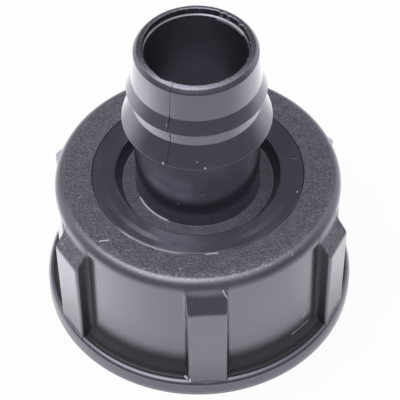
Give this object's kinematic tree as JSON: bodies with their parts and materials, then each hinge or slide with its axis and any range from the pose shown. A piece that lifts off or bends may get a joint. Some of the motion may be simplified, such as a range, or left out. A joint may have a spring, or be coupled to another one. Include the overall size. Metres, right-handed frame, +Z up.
{
  "type": "hose barb adapter",
  "caption": "Swivel nut with a coarse female thread and grip ribs, holding a turning hose tail with barbs and a flat sealing washer.",
  "frame": {"origin": "centre of the swivel nut's lower rim, on the surface that the adapter stands on", "axes": "+Z up along the hose axis, from the nut's threaded mouth to the tip of the hose tail; -Y towards the front grip rib"},
  "size_m": [0.08, 0.08, 0.0841],
  "materials": {
    "nut_plastic": "black polypropylene, spark-grained on top and smooth on the wall",
    "tail_plastic": "black polypropylene, smooth",
    "washer_rubber": "matt black rubber"
  },
  "bodies": {
    "nut": {"swivel_nut": "nut_plastic", "sealing_washer": "washer_rubber"},
    "tail": {"hose_tail": "tail_plastic"}
  },
  "joints": [
    {"name": "tail_swivel", "type": "hinge", "parent": "nut", "child": "tail", "pos_m": [0, 0, 0.034], "axis": [0, 0, 1], "continuous": true}
  ]
}
